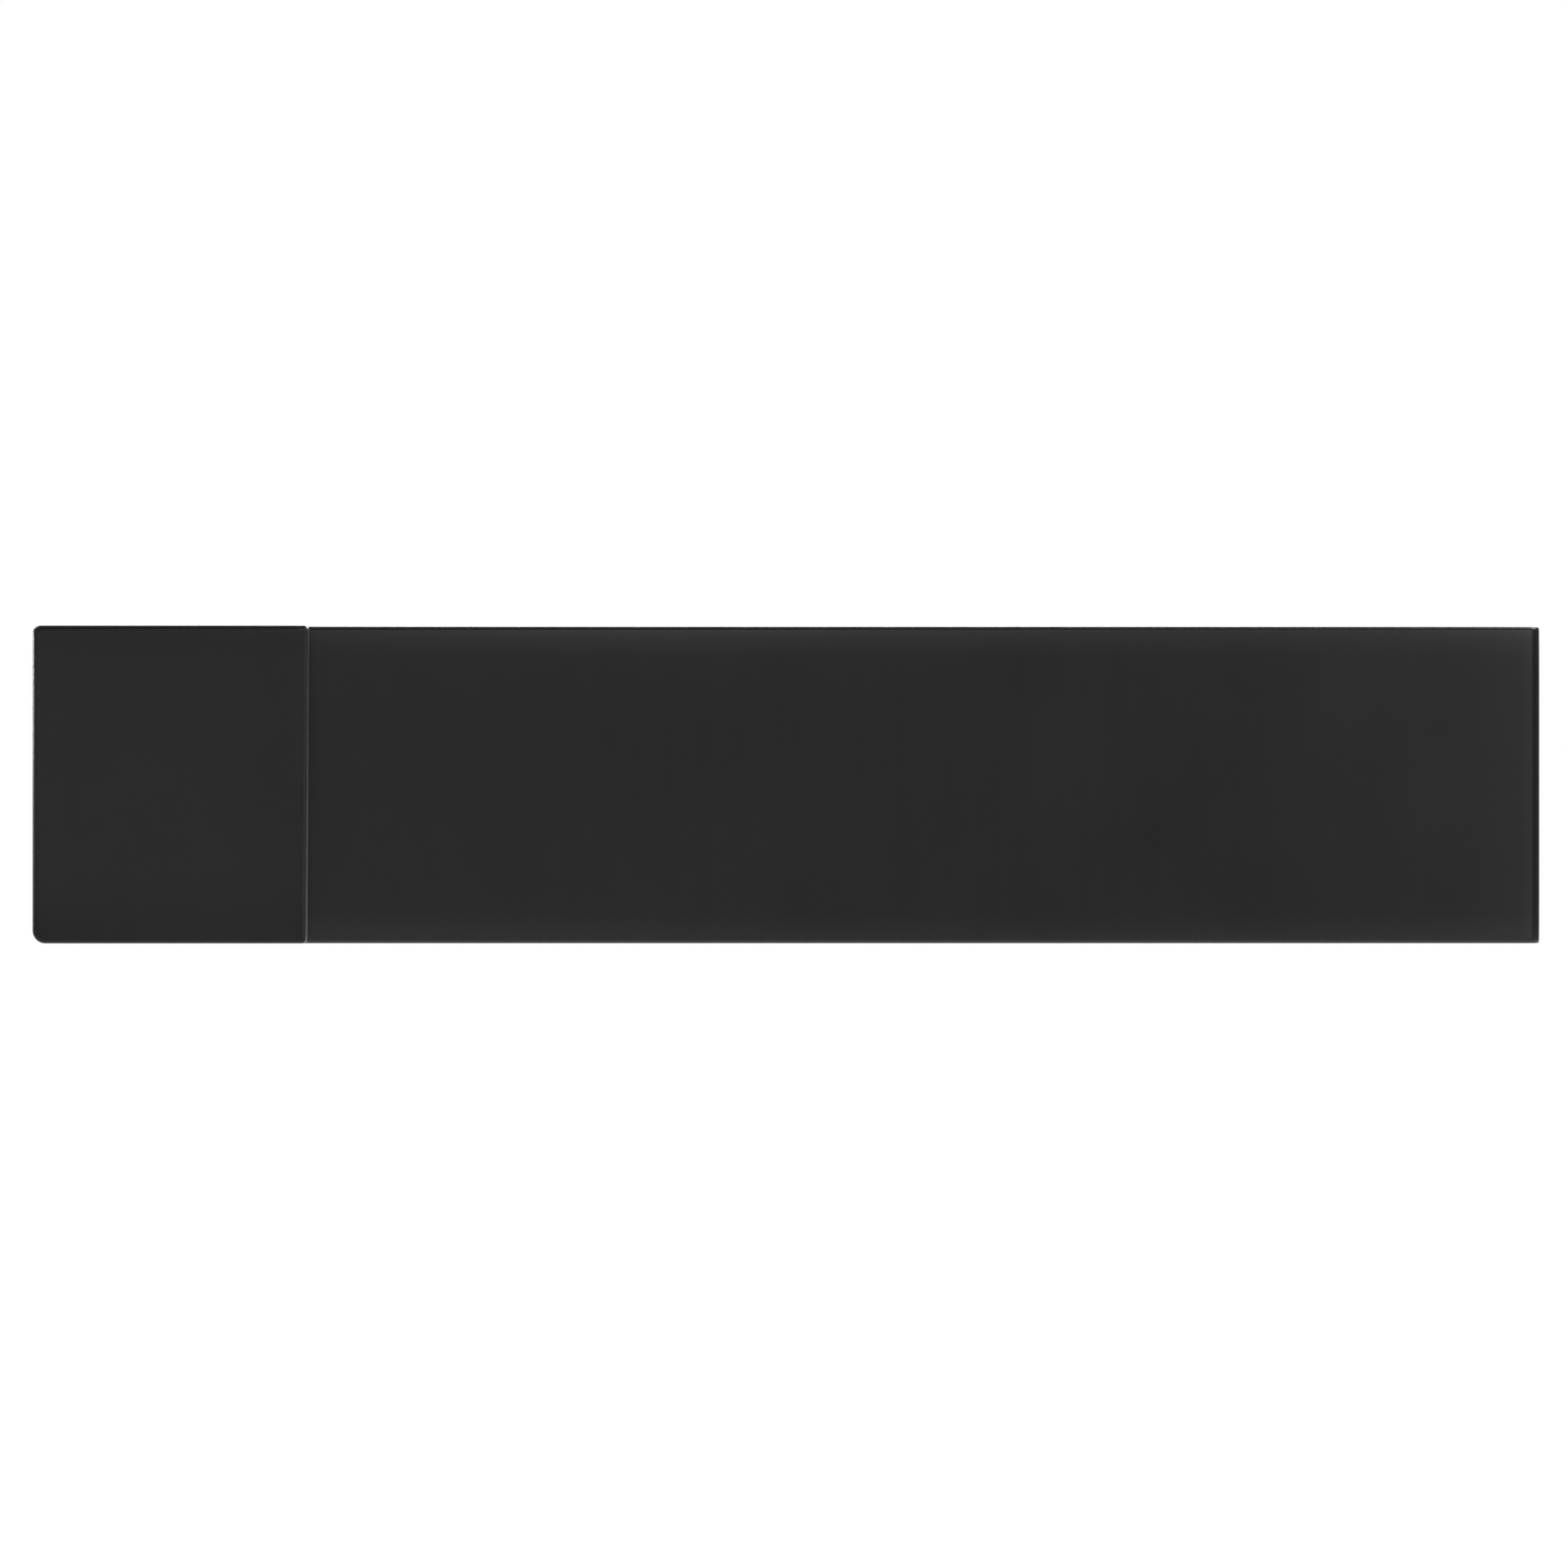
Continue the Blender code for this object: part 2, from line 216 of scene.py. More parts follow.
def bend_mask(tree, normal):
    """0 on faces square to an axis, 1 in the middle of a rounded edge: where a coat is thin and gets rubbed."""
    turned = add_node(tree, "VectorMath", {0: normal}, operation="ABSOLUTE")
    axes = add_node(tree, "SeparateXYZ", {0: turned.outputs[0]})
    largest = axes.outputs[0]
    for other in axes.outputs[1:]:
        largest = add_node(tree, "Math", {0: largest, 1: other}, operation="MAXIMUM").outputs[0]
    return add_node(tree, "MapRange", {0: largest, 1: FLAT, 2: TURNED, 3: 0.0, 4: 1.0}).outputs[0]


print("#808080 in linear light:", round(linear("#808080")[0], 3))


# %% [markdown]
# ## Finish: satin black powder coat
# The sheet is steel with a polyester powder coat: dry powder is sprayed on, melts in an oven and flows into a
# skin. It never flows quite flat, which leaves orange peel, low waves one to two millimetres across. The eye
# sees that as a soft, faintly uneven satin. The coat pulls thin over the bends, and those pick up a rub polish.
# Over the last centimetre along the top and bottom the colour is painted a shade lighter, as a painted sheen on the
# long edges.

# %% Powder coat
powder_coat, tree, shader, mm, normal = start_finish("satin_black_polyester_powder_coat", IOR=1.5)
bends = bend_mask(tree, normal)
film = add_node(tree, "TexNoise", {"Vector": mm, "Scale": 1 / 85, "Detail": 2.0, "Roughness": 0.45})
wipe = add_node(tree, "Mapping", {"Vector": mm, "Scale": (1 / 7, 1 / 7, 1 / 220)})
streaks = add_node(tree, "TexNoise", {"Vector": wipe.outputs[0], "Scale": 1.0, "Detail": 3.0})
uneven = add_node(tree, "Math", {0: streaks.outputs[0], 1: 0.45, 2: film.outputs[0]}, operation="MULTIPLY_ADD")
spread = add_node(tree, "MapRange", {0: uneven.outputs[0], 1: 0.45, 2: 1.0, 3: 0.0, 4: 1.0})
skin_tone = add_node(
    tree, "Mix", {0: spread.outputs[0], 6: linear("#18181a"), 7: linear("#1d1d1f")}, data_type="RGBA"
)
# The band along the top and bottom edges is painted lighter: a painted sheen, not scuffing.
SHEEN_BAND_FROM, SHEEN_BAND_TO = 62.0, 76.0  # height from the middle of the sheet, mm
place = add_node(tree, "SeparateXYZ", {0: mm})
height = add_node(tree, "Math", {0: place.outputs[2]}, operation="ABSOLUTE")
painted_sheen_band = add_node(tree, "MapRange", {0: height.outputs[0], 1: SHEEN_BAND_FROM, 2: SHEEN_BAND_TO, 3: 0.0, 4: 1.0})
sheen_banded = add_node(
    tree, "Mix", {0: painted_sheen_band.outputs[0], 6: skin_tone.outputs[2], 7: linear("#272729")}, data_type="RGBA"
)
rubbed = add_node(
    tree, "Mix", {0: bends, 6: sheen_banded.outputs[2], 7: linear("#262629")}, data_type="RGBA"
)
peel = add_node(tree, "TexNoise", {"Vector": mm, "Scale": 1 / 1.7, "Detail": 1.5, "Roughness": 0.4})
gloss = add_node(tree, "MapRange", {0: uneven.outputs[0], 1: 0.45, 2: 1.0, 3: 0.34, 4: 0.39})
polished = add_node(tree, "Math", {0: bends, 1: -0.04, 2: gloss.outputs[0]}, operation="MULTIPLY_ADD")
raised = add_node(tree, "Bump", {"Height": peel.outputs[0], "Distance": 0.012 * MM, "Strength": 0.6})
tree.links.new(rubbed.outputs[2], shader.inputs["Base Color"])
tree.links.new(polished.outputs[0], shader.inputs["Roughness"])
tree.links.new(raised.outputs[0], shader.inputs["Normal"])
print("finish made:", powder_coat.name)

# %% [markdown]
# ## Finish: moulded ABS
# The end cap is injection-moulded black ABS. Its mould was spark-eroded, so the skin has a fine even grain
# about a third of a millimetre across, and the flow of the plastic leaves broad, very faint clouds of gloss.
# The grain is drawn at half a millimetre, because the real one is too fine to show.
#
# The black isn't even all over, and three painted marks make it so, all of them painted light and shade. The colour
# is painted a little darker to the right, as painted shade. The rims at the bottom and the top are painted darker,
# as painted shade. The thin edge of the lap is painted grey, most of all near the floor, as a painted highlight on
# its side wall. The first two are colour ramps along X and Z that multiply the base colour. The third is a mask
# that picks the faces turned to the right, and of those only the ones that lie past the cap's inner walls.

# %% Moulded ABS: cloudy base colour
moulded_abs, tree, shader, mm, normal = start_finish("black_spark_eroded_abs", IOR=1.53)
bends = bend_mask(tree, normal)
CLOUD, GRAIN = 45, 0.5  # size of each pattern, mm
flow = add_node(tree, "TexNoise", {"Vector": mm, "Scale": 1 / CLOUD, "Detail": 3.0, "Roughness": 0.5})
grain = add_node(tree, "TexNoise", {"Vector": mm, "Scale": 1 / GRAIN, "Detail": 2.0, "Roughness": 0.6})
cloud = add_node(tree, "MapRange", {0: flow.outputs[0], 1: 0.3, 2: 0.7, 3: 0.0, 4: 1.0})
plastic = add_node(
    tree, "Mix", {0: cloud.outputs[0], 6: linear("#232325"), 7: linear("#262629")}, data_type="RGBA"
)
print("clouds and grain, mm:", CLOUD, GRAIN)

# %% Moulded ABS: painted shade to the right and on the rims
SHADE_START_X, SHADE_END_X = -358.0, -236.0  # where the painted shade starts and where it is darkest, mm
FOOT, CROWN = -76.0, 76.4  # bottom and top of the cap, mm
# Both ramps are painted shade: darker towards the right of the cap, and darker on the bottom and top rims.
PAINTED_SHADE_TO_RIGHT = ((0.0, "#ffffff"), (0.12, "#e2e2e2"), (0.65, "#d4d4d4"), (1.0, "#a8a8a8"))
PAINTED_SHADE_ON_RIMS = (
    (0.0, "#505050"), (0.05, "#8c8c8c"), (0.12, "#d8d8d8"), (0.22, "#fafafa"),
    (0.5, "#ffffff"), (0.9, "#e6e6e6"), (1.0, "#a4a4a4"),
)
place = add_node(tree, "SeparateXYZ", {0: mm})
along_cap = add_node(tree, "MapRange", {0: place.outputs[0], 1: SHADE_START_X, 2: SHADE_END_X, 3: 0.0, 4: 1.0})
climb = add_node(tree, "MapRange", {0: place.outputs[2], 1: FOOT, 2: CROWN, 3: 0.0, 4: 1.0})
painted_shade_tone = plastic
for along, stops in ((along_cap, PAINTED_SHADE_TO_RIGHT), (climb, PAINTED_SHADE_ON_RIMS)):
    ramp = add_node(tree, "ValToRGB", {0: along.outputs[0]})
    ramp.color_ramp.elements[0].color, ramp.color_ramp.elements[1].color = linear(stops[0][1]), linear(stops[-1][1])
    for share, colour in stops[1:-1]:
        ramp.color_ramp.elements.new(share).color = linear(colour)
    painted_shade_tone = add_node(
        tree, "Mix", {0: 1.0, 6: painted_shade_tone.outputs[2], 7: ramp.outputs[0]}, data_type="RGBA", blend_type="MULTIPLY"
    )
print("stops of the two ramps:", len(PAINTED_SHADE_TO_RIGHT), len(PAINTED_SHADE_ON_RIMS))

# %% Moulded ABS: painted highlight on the lap's edge, rubbed bends and grain
LAP_FROM = -233.0  # past this X there are only the lap and the tongues, mm
facing = add_node(tree, "SeparateXYZ", {0: normal})
side_on = add_node(tree, "MapRange", {0: facing.outputs[0], 1: 0.55, 2: 0.85, 3: 0.0, 4: 1.0})
past = add_node(tree, "Math", {0: place.outputs[0], 1: LAP_FROM}, operation="GREATER_THAN")
lap_edge = add_node(tree, "Math", {0: side_on.outputs[0], 1: past.outputs[0]}, operation="MULTIPLY")
# The lap's right-facing side wall is painted grey, lighter towards the bottom: a painted highlight.
painted_lap_highlight = add_node(
    tree, "Mix", {0: climb.outputs[0], 6: linear("#88888b"), 7: linear("#565658")}, data_type="RGBA"
)
lap_highlighted = add_node(
    tree, "Mix", {0: lap_edge.outputs[0], 6: painted_shade_tone.outputs[2], 7: painted_lap_highlight.outputs[2]}, data_type="RGBA"
)
worn = add_node(tree, "Mix", {0: bends, 6: lap_highlighted.outputs[2], 7: linear("#28282b")}, data_type="RGBA")
gloss = add_node(tree, "MapRange", {0: flow.outputs[0], 1: 0.3, 2: 0.7, 3: 0.36, 4: 0.41})
polished = add_node(tree, "Math", {0: bends, 1: -0.06, 2: gloss.outputs[0]}, operation="MULTIPLY_ADD")
raised = add_node(tree, "Bump", {"Height": grain.outputs[0], "Distance": 0.010 * MM, "Strength": 0.5})
tree.links.new(worn.outputs[2], shader.inputs["Base Color"])
tree.links.new(polished.outputs[0], shader.inputs["Roughness"])
tree.links.new(raised.outputs[0], shader.inputs["Normal"])
print("finish made:", moulded_abs.name)

# %% [markdown]
# ## Finish: mill-finish aluminium
# The rail and the hangers are aluminium extrusions, left as they come from the press. The die drags hair-fine
# lines along the bar, so the metal is dull across the lines and bright along them, with grey clouds where the
# oxide is thicker. Edges that get handled shine a little more.

# %% Extruded aluminium
aluminium, tree, shader, mm, normal = start_finish("mill_finish_extruded_aluminium", Metallic=1.0)
bends = bend_mask(tree, normal)
drag = add_node(tree, "Mapping", {"Vector": mm, "Scale": (1 / 260, 1 / 0.9, 1 / 0.9)})
die_lines = add_node(tree, "TexNoise", {"Vector": drag.outputs[0], "Scale": 1.0, "Detail": 4.0, "Roughness": 0.65})
oxide = add_node(tree, "TexNoise", {"Vector": mm, "Scale": 1 / 30, "Detail": 4.0, "Roughness": 0.6})
blend = add_node(tree, "Math", {0: die_lines.outputs[0], 1: 0.6, 2: oxide.outputs[0]}, operation="MULTIPLY_ADD")
share = add_node(tree, "MapRange", {0: blend.outputs[0], 1: 0.5, 2: 1.1, 3: 0.0, 4: 1.0})
metal = add_node(
    tree, "Mix", {0: share.outputs[0], 6: linear("#a9abad"), 7: linear("#cdcfd0")}, data_type="RGBA"
)
edge = add_node(tree, "Mix", {0: bends, 6: metal.outputs[2], 7: linear("#dcdedf")}, data_type="RGBA")
dull = add_node(tree, "MapRange", {0: share.outputs[0], 1: 0.0, 2: 1.0, 3: 0.46, 4: 0.30})
raised = add_node(tree, "Bump", {"Height": die_lines.outputs[0], "Distance": 0.02 * MM, "Strength": 0.7})
tree.links.new(edge.outputs[2], shader.inputs["Base Color"])
tree.links.new(dull.outputs[0], shader.inputs["Roughness"])
tree.links.new(raised.outputs[0], shader.inputs["Normal"])
print("finish made:", aluminium.name)

# %% [markdown]
# ## Finish: bright zinc plate
# The screws are steel, barrel-plated with zinc and dipped in a clear passivate. That gives a cool silver with
# faint blue and straw patches, and a slightly frosted skin from tumbling in the barrel.

# %% Zinc plate
zinc, tree, shader, mm, normal = start_finish("barrel_plated_zinc_on_steel", Metallic=1.0)
tint = add_node(tree, "TexNoise", {"Vector": mm, "Scale": 1 / 3.5, "Detail": 2.0})
frost = add_node(tree, "TexNoise", {"Vector": mm, "Scale": 1 / 0.35, "Detail": 3.0, "Roughness": 0.6})
patch = add_node(tree, "MapRange", {0: tint.outputs[0], 1: 0.35, 2: 0.65, 3: 0.0, 4: 1.0})
plated = add_node(
    tree, "Mix", {0: patch.outputs[0], 6: linear("#bcc4cc"), 7: linear("#cbc8bd")}, data_type="RGBA"
)
dull = add_node(tree, "MapRange", {0: frost.outputs[0], 1: 0.3, 2: 0.7, 3: 0.24, 4: 0.38})
raised = add_node(tree, "Bump", {"Height": frost.outputs[0], "Distance": 0.01 * MM, "Strength": 0.5})
tree.links.new(plated.outputs[2], shader.inputs["Base Color"])
tree.links.new(dull.outputs[0], shader.inputs["Roughness"])
tree.links.new(raised.outputs[0], shader.inputs["Normal"])
print("finish made:", zinc.name)

# %% [markdown]
# ## Finish: EPDM rubber
# The buffer strips are extruded EPDM. The skin is matt, nearly black, with a grey bloom of release talc that
# settles unevenly, and fine pores that just break up the light.

# %% EPDM rubber
rubber, tree, shader, mm, normal = start_finish("talced_epdm_rubber", IOR=1.48)
bloom = add_node(tree, "TexNoise", {"Vector": mm, "Scale": 1 / 9, "Detail": 5.0, "Roughness": 0.65})
pores = add_node(tree, "TexVoronoi", {"Vector": mm, "Scale": 1 / 0.7, "Randomness": 1.0}, feature="F1")
dusty = add_node(tree, "MapRange", {0: bloom.outputs[0], 1: 0.42, 2: 0.75, 3: 0.0, 4: 1.0})
skin = add_node(
    tree, "Mix", {0: dusty.outputs[0], 6: linear("#161616"), 7: linear("#2e2e2d")}, data_type="RGBA"
)
dull = add_node(tree, "MapRange", {0: dusty.outputs[0], 1: 0.0, 2: 1.0, 3: 0.72, 4: 0.92})
raised = add_node(tree, "Bump", {"Height": pores.outputs["Distance"], "Distance": 0.05 * MM, "Strength": 0.5})
tree.links.new(skin.outputs[2], shader.inputs["Base Color"])
tree.links.new(dull.outputs[0], shader.inputs["Roughness"])
tree.links.new(raised.outputs[0], shader.inputs["Normal"])
print("finish made:", rubber.name)

# %% [markdown]
# ## Finish: bonding tape
# The tape that bonds the hangers is a dark grey acrylic foam. Its cut edges show open bubbles about half a
# millimetre across, each a pit in a slightly shiny gum, painted darker as painted shade in the hollow.

# %% Acrylic foam tape
foam, tree, shader, mm, normal = start_finish("grey_acrylic_foam_tape", IOR=1.47)
bubbles = add_node(tree, "TexVoronoi", {"Vector": mm, "Scale": 1 / 0.8, "Randomness": 1.0}, feature="F1")
gum = add_node(tree, "MapRange", {0: bubbles.outputs["Distance"], 1: 0.15, 2: 0.5, 3: 0.0, 4: 1.0})
# The bubble pits are painted darker: painted shade in the hollows.
foam_with_painted_pit_shade = add_node(
    tree, "Mix", {0: gum.outputs[0], 6: linear("#2b2c2e"), 7: linear("#4c4e51")}, data_type="RGBA"
)
dull = add_node(tree, "MapRange", {0: gum.outputs[0], 1: 0.0, 2: 1.0, 3: 0.8, 4: 0.55})
raised = add_node(tree, "Bump", {"Height": gum.outputs[0], "Distance": 0.08 * MM, "Strength": 0.6})
tree.links.new(foam_with_painted_pit_shade.outputs[2], shader.inputs["Base Color"])
tree.links.new(dull.outputs[0], shader.inputs["Roughness"])
tree.links.new(raised.outputs[0], shader.inputs["Normal"])
print("finish made:", foam.name)

# %% [markdown]
# ## The cover sheet
# The real cover is one blank of 1.5 mm steel. Its edges are folded back, and the press leaves the face very
# slightly domed where it runs into the folds. It could be drawn as a solid block, but then its hollow back
# would be wrong, so it is made as the metal is: an outer skin without thickness, and thickened inwards at the
# end. A bevel goes wrong where folds of three different radii meet in a corner, so the front folds are rolled
# instead: the skin is cut at the steps of a quarter circle, and each cut is moved back to its place on it.

# %% Skin of the sheet: a cube without its left end and its back
SHEET = 1.5 * MM
EDGE_BEND = 2.0 * MM  # outer radius of the long folds
END_BEND = 4.7 * MM  # outer radius of the right end's fold
low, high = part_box("face_plate")
skin = bmesh.new()
block(skin, low, high)
open_sides = flat_faces(skin, X, low.x) + flat_faces(skin, Y, high.y)
bmesh.ops.delete(skin, geom=open_sides, context="FACES")
front = low.y
print("skin faces left:", len(skin.faces))

# %% Cut it for the folds and for the dome
FALL = 0.8 * MM  # how far the face has sunk where it meets a fold
SHOULDER_Z = 50 * MM  # the face starts to sink this far from its middle
SHOULDER_X = 57 * MM  # and this far before its right end
STEPS, ARC_STEPS = 12, 8  # cuts across a shoulder and round a fold
FIELD_X, FIELD_Z = 45 * MM, 25 * MM  # spacing of the cuts on the flat middle
LIP_END_GAP = 10 * MM  # the rear lips stop this far before the right end
rise = high.z - SHOULDER_Z
arc = [1 - sin(radians(90 * i / ARC_STEPS)) for i in range(1, ARC_STEPS)]  # in from the edge, shares of the radius
cuts_x = [high.x - END_BEND * share for share in arc]
cuts_x += [high.x - END_BEND - (SHOULDER_X - END_BEND) * i / STEPS for i in range(STEPS + 1)]
cuts_x += [low.x + FIELD_X * i for i in range(1, 12)]
cuts_z = [high.z - EDGE_BEND * share for share in arc]
cuts_z += [SHOULDER_Z + (rise - EDGE_BEND) * i / STEPS for i in range(STEPS + 1)]
cuts_z += [0, FIELD_Z]
cut(skin, X, cuts_x, faces=lambda bm: flat_faces(bm, Y, front))
cut(skin, Z, [side * z for z in cuts_z for side in (-1, 1)], faces=lambda bm: flat_faces(bm, Y, front))
cut(skin, X, [high.x - LIP_END_GAP])
cut(skin, Y, [high.y - EDGE_BEND])
print("skin faces after the cuts:", len(skin.faces))


# %% Roll the folds and sink the dome
def rolled(inside, radius):
    """How far the quarter circle of a fold has fallen back at a distance inside the edge."""
    near = max(0.0, radius - inside)
    return radius - sqrt(max(0.0, radius**2 - near**2))


on_front = {v for v in skin.verts if abs(v.co.y - front) < NEAR}
for vert in on_front:
    to_end = max(0.0, vert.co.x - (high.x - SHOULDER_X)) / SHOULDER_X  # 0 on the flat middle, 1 at the edge
    to_edge = max(0.0, abs(vert.co.z) - SHOULDER_Z) / rise
    folds = rolled(high.x - vert.co.x, END_BEND) + rolled(high.z - abs(vert.co.z), EDGE_BEND)
    vert.co.y += FALL * sum(0.5 * share**2 + 0.5 * share**5 for share in (to_end, to_edge)) + folds
print("rolled and domed vertices:", len(on_front))

# %% Fold the rear lips in, with a relief notch before the right end
LIP = 7.5 * MM
bend_y = high.y - EDGE_BEND  # where the rear bends begin
for side in (-1, 1):
    edge_z = side * high.z
    spare = flat_faces(skin, Z, edge_z, x=(low.x, high.x - LIP_END_GAP), y=(bend_y, high.y))
    bmesh.ops.delete(skin, geom=spare, context="FACES")
    at_bend = {v for v in skin.verts if abs(v.co.y - bend_y) < NEAR and abs(v.co.z - edge_z) < NEAR}
    rear = [e for e in skin.edges if e.is_boundary and at_bend.issuperset(e.verts)]
    centre = (0, bend_y, side * (high.z - EDGE_BEND))
    turned = bmesh.ops.spin(
        skin, geom=rear, cent=centre, axis=(1, 0, 0), angle=-side * pi / 2, steps=ARC_STEPS
    )["geom_last"]
    edges = [e for e in turned if isinstance(e, bmesh.types.BMEdge)]
    for vert in bmesh.ops.extrude_edge_only(skin, edges=edges)["geom"]:
        if isinstance(vert, bmesh.types.BMVert):
            vert.co.z -= side * (LIP - EDGE_BEND)
print("skin faces with the lips:", len(skin.faces))

# %% Give the metal its thickness
cover_sheet = make(
    "cover_sheet",
    skin,
    powder_coat,
    [("SOLIDIFY", {"thickness": SHEET, "offset": -1, "use_even_offset": True, "use_quality_normals": True})],
)
fit(cover_sheet, "cover", "black_powder_coat", "face_plate")

# %% [markdown]
# ## The end cap
# The cap is one moulding: a 3 mm front wall with walls and ribs standing on its back, a lap that covers the
# sheet's raw end, and two tongues that slide into the sheet. A mould is cut the other way round, as pockets,
# but on a computer the simplest honest way is to grow it: lay out the plan of walls and ribs as cuts across
# the front wall, then extrude each region back to its own height.

# %% Front wall with rounded corners
CAP_WIDTH = 132.5 * MM
WALL, RIB, LAP = 3.0 * MM, 2.4 * MM, 6.5 * MM
CORNERS = {  # radius by (left or right, bottom or top)
    (1, -1): 2.0 * MM, (1, 1): 2.1 * MM, (-1, 1): 3.9 * MM, (-1, -1): 6.1 * MM,
}
cap_low, cap_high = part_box("end_cap")
left, right = cap_low.x, cap_low.x + CAP_WIDTH
bottom, top, face_y, back_y = cap_low.z, cap_high.z, cap_low.y, cap_high.y
cap = bmesh.new()
block(cap, (left, face_y, bottom), (right, face_y + WALL, top))
middle = (left + right) / 2
for (side, up), radius in CORNERS.items():
    corner = {v for v in cap.verts if (v.co.x - middle) * side > 0 and v.co.z * up > 0}
    upright = [e for e in cap.edges if corner.issuperset(e.verts) and abs(e.verts[0].co.y - e.verts[1].co.y) > MM]
    bmesh.ops.bevel(cap, geom=upright, offset=radius, segments=8, profile=0.5, affect="EDGES", material=-1)
print("front wall faces:", len(cap.faces))

# %% Plan of walls, ribs and pockets, as cuts
inner_left, inner_low, inner_high = left + WALL, bottom + WALL, top - WALL
wall_right = right - LAP
wall_left = wall_right - WALL
pocket = (wall_left - inner_left - 2 * RIB) / 3
rib_x = [(inner_left + i * (pocket + RIB) - RIB, inner_left + i * (pocket + RIB)) for i in (1, 2)]
pocket_x = [inner_left + i * (pocket + RIB) + pocket / 2 for i in range(3)]
level = (top + bottom) / 2  # of the rib that runs along X
pocket_z = [(inner_low + level - RIB / 2) / 2, (inner_high + level + RIB / 2) / 2]
PIN = 4.0 * MM  # half the square kept for each ejector pin's mark
tongue_low, tongue_high = 67.7 * MM, 74.3 * MM  # from the middle of the sheet, up and down
cut(cap, X, [inner_left, wall_left, wall_right, *[x for pair in rib_x for x in pair]])
cut(cap, X, [x + side * PIN for x in pocket_x for side in (-1, 1)])
cut(cap, Z, [inner_low, inner_high, level - RIB / 2, level + RIB / 2])
cut(cap, Z, [side * z for z in (tongue_low, tongue_high) for side in (-1, 1)])
cut(cap, Z, [z + side * PIN for z in pocket_z for side in (-1, 1)])
bmesh.ops.dissolve_faces(cap, faces=flat_faces(cap, Y, face_y))
print("plan faces:", len(cap.faces))


# %% Grow the lap, the ribs and the walls
def region(face):
    """Which part of the plan a face of the cap's back belongs to."""
    spot = face.calc_center_median()
    if spot.x > wall_right:
        return "lap"
    if spot.x < inner_left or not inner_low < spot.z < inner_high:
        return "wall"
    if spot.x > wall_left:
        return "post" if abs(spot.z) > tongue_low else "rib"
    return "rib" if abs(spot.z - level) < RIB / 2 or any(a < spot.x < b for a, b in rib_x) else "pocket"


LAP_BACK = -12.3 * MM  # 0.3 mm in front of the sheet
RIB_BACK = -7.8 * MM  # clear of the rail's hooks
TONGUE = (-9.3 * MM, -2.9 * MM)  # front and back of the tongues
floor_y = face_y + WALL
grown = [f for f in flat_faces(cap, Y, floor_y) if region(f) != "pocket"]
for parts, back in (
    (("lap", "wall", "post", "rib"), LAP_BACK),
    (("wall", "post", "rib"), RIB_BACK),
    (("wall", "post"), TONGUE[1]),
    (("wall",), back_y),
):
    grown = extrude(cap, [f for f in grown if region(f) in parts], Y, back)
print("cap faces with walls:", len(cap.faces))

# %% Tongues: out from the posts along the sheet
TIP = 3.0 * MM
TAPER = (1.0, 0.62, 0.66)  # share of its size that a tongue keeps at its end, so that it finds its way in
cut(cap, Y, TONGUE[:1], faces=lambda bm: flat_faces(bm, X, wall_right))
for side in (-1, 1):
    span = sorted((side * tongue_low, side * tongue_high))
    root = flat_faces(cap, X, wall_right, y=TONGUE, z=span)
    run = extrude(cap, root, X, cap_high.x - TIP)
    tip = extrude(cap, run, X, cap_high.x)
    centre = Vector((cap_high.x, sum(TONGUE) / 2, sum(span) / 2))
    ends = list({v for f in tip for v in f.verts})
    bmesh.ops.scale(cap, vec=TAPER, space=Matrix.Translation(-centre), verts=ends)
print("cap faces with tongues:", len(cap.faces))

# %% Round marks of the ejector pins on the pocket floors
def drill(bm, square, centre, rings, segments=32):
    """Replaces a square face across Y by rings of (radius, y), each bridged to the last; returns the last ring."""
    loop = list(square.edges)
    bmesh.ops.delete(bm, geom=[square], context="FACES_ONLY")
    for radius, level in rings:
        place = Matrix.Translation((centre[0], level, centre[1])) @ Matrix.Rotation(pi / 2, 4, "X")
        circle = bmesh.ops.create_circle(bm, segments=segments, radius=radius, matrix=place)["verts"]
        ring = list({e for v in circle for e in v.link_edges})
        bmesh.ops.bridge_loops(bm, edges=loop + ring)
        loop = ring
    return loop


PIN_RINGS = ((2.9, 0.0), (2.8, 0.12), (2.5, 0.12), (2.4, -0.15))  # radius and height off the floor, mm
rings = [(radius * MM, floor_y + rise * MM) for radius, rise in PIN_RINGS]
for x in pocket_x:
    for z in pocket_z:
        square = flat_faces(cap, Y, floor_y, x=(x - PIN, x + PIN), z=(z - PIN, z + PIN))[0]
        last = drill(cap, square, (x, z), rings, segments=24)
        bmesh.ops.edgeloop_fill(cap, edges=last)
print("cap faces with pin marks:", len(cap.faces))

# %% Soft front: rings set in from the outline, each a little further forward
DEPTHS = (1.60, 1.05, 0.68, 0.40, 0.21, 0.09, 0.025, 0.0)  # behind the front plane, mm
SET_IN = {  # how far each ring is from the left, right, bottom and top outline, mm
    "left": (0.0, 0.30, 0.75, 1.35, 2.4, 4.4, 8.5, 15.0),
    "right": (0.0, 0.22, 0.70, 2.0, 4.6, 8.4, 13.5, 20.0),
    "bottom": (0.0, 0.25, 0.80, 2.2, 4.8, 8.6, 13.0, 19.0),
    "top": (0.0, 0.20, 0.55, 1.3, 2.5, 4.0, 5.8, 8.0),
}
face = flat_faces(cap, Y, face_y)[0]
OUTLINE = (("left", left, 1), ("right", right, -1), ("bottom", bottom, 1), ("top", top, -1))


